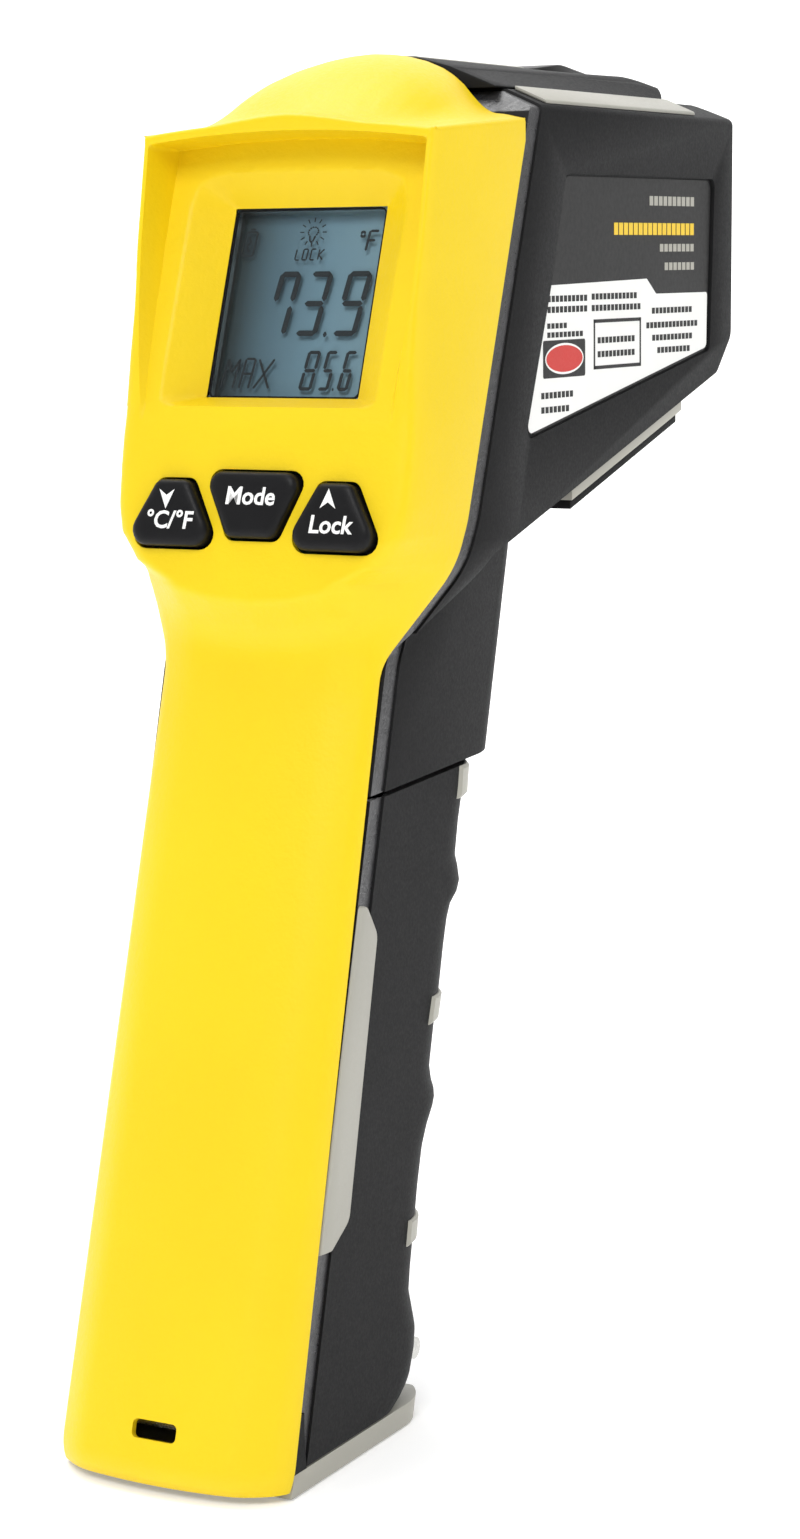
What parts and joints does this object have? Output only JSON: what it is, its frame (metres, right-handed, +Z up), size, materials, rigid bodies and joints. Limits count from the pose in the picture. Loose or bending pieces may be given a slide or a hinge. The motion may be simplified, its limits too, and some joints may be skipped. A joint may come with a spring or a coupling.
{
  "type": "infrared thermometer",
  "caption": "Pistol-grip infrared thermometer with a hooded display, three keys, a trigger, a level optical barrel and a hinged battery door in the grip.",
  "frame": {"origin": "on the flat base of the grip, on the middle plane", "axes": "+Z up the instrument, +Y forward towards the target, X across, so the display faces -Y"},
  "size_m": [0.039, 0.1094, 0.1507],
  "materials": {
    "yellow_abs": "moulded, fine spark texture",
    "black_abs": "moulded, soft-touch",
    "grey_abs": "moulded, satin",
    "key_rubber": "moulded silicone",
    "plated_steel": "nickel plated",
    "circuit_board": "solder mask",
    "window_acrylic": "clear, polished",
    "lcd_cell": "liquid-crystal cell",
    "inner_abs": "moulded",
    "chip_resin": "moulded resin",
    "tube_aluminium": "turned, black inside",
    "lens_glass": "polished, coated",
    "brass": "turned",
    "battery_jacket": "printed metal jacket",
    "label_film": "printed polyester film"
  },
  "bodies": {
    "housing": {"rear_cover": "yellow_abs", "housing_left": "black_abs", "housing_right": "black_abs", "top_cap": "black_abs", "sight_pad": "black_abs", "top_band_left": "grey_abs", "top_band_right": "grey_abs", "keel_band": "grey_abs", "keel_cap": "black_abs", "dome_switches": "plated_steel", "key_board": "circuit_board", "display_window": "window_acrylic", "lcd_glass": "lcd_cell", "lcd_frame": "inner_abs", "lcd_connector": "key_rubber", "backlight": "inner_abs", "main_board": "circuit_board", "control_chip": "chip_resin", "buzzer": "chip_resin", "board_screws": "plated_steel", "nose_bezel": "black_abs", "sensor_tube": "tube_aluminium", "ir_lens": "lens_glass", "lens_ring": "tube_aluminium", "thermopile": "plated_steel", "sensor_board": "circuit_board", "laser_barrel": "brass", "laser_lens": "lens_glass", "trigger_pin": "plated_steel", "trigger_spring": "plated_steel", "trigger_switch": "chip_resin", "battery": "battery_jacket", "battery_tray": "inner_abs", "battery_snap": "chip_resin", "base_cap": "grey_abs", "grip_heels": "black_abs", "hinge_pin": "plated_steel", "strap_bar": "plated_steel", "casing_screws": "plated_steel", "label_left": "label_film", "label_right": "label_film"},
    "trigger": {"trigger": "black_abs"},
    "key_left": {"key_left": "key_rubber"},
    "key_mode": {"key_mode": "key_rubber"},
    "key_right": {"key_right": "key_rubber"},
    "door": {"battery_door": "black_abs", "door_ribs": "grey_abs"},
    "pad_left": {"release_pad_left": "grey_abs"},
    "pad_right": {"release_pad_right": "grey_abs"}
  },
  "joints": [
    {"name": "trigger_pull", "type": "hinge", "parent": "housing", "child": "trigger", "pos_m": [0, 0.0365, 0.0906], "axis": [-1, 0, 0], "range_deg": [0, 8], "stiffness_Nm_per_rad": 0.35, "springref_deg": -1.72, "deforming": ["trigger_spring"]},
    {"name": "key_left_press", "type": "slide", "parent": "housing", "child": "key_left", "axis": [0, 0.9815, -0.1914], "range_m": [0, 0.0008], "stiffness_N_per_m": 900, "springref_m": -0.0002},
    {"name": "key_mode_press", "type": "slide", "parent": "housing", "child": "key_mode", "axis": [0, 0.9815, -0.1914], "range_m": [0, 0.0008], "stiffness_N_per_m": 900, "springref_m": -0.0002},
    {"name": "key_right_press", "type": "slide", "parent": "housing", "child": "key_right", "axis": [0, 0.9815, -0.1914], "range_m": [0, 0.0008], "stiffness_N_per_m": 900, "springref_m": -0.0002},
    {"name": "door_open", "type": "hinge", "parent": "housing", "child": "door", "pos_m": [0, 0.0152, 0.007], "axis": [-1, 0, 0], "range_deg": [0, 75]},
    {"name": "pad_left_press", "type": "slide", "parent": "door", "child": "pad_left", "axis": [1, 0, 0], "range_m": [0, 0.0008], "stiffness_N_per_m": 900, "springref_m": -0.0002},
    {"name": "pad_right_press", "type": "slide", "parent": "door", "child": "pad_right", "axis": [-1, 0, 0], "range_m": [0, 0.0008], "stiffness_N_per_m": 900, "springref_m": -0.0002}
  ]
}
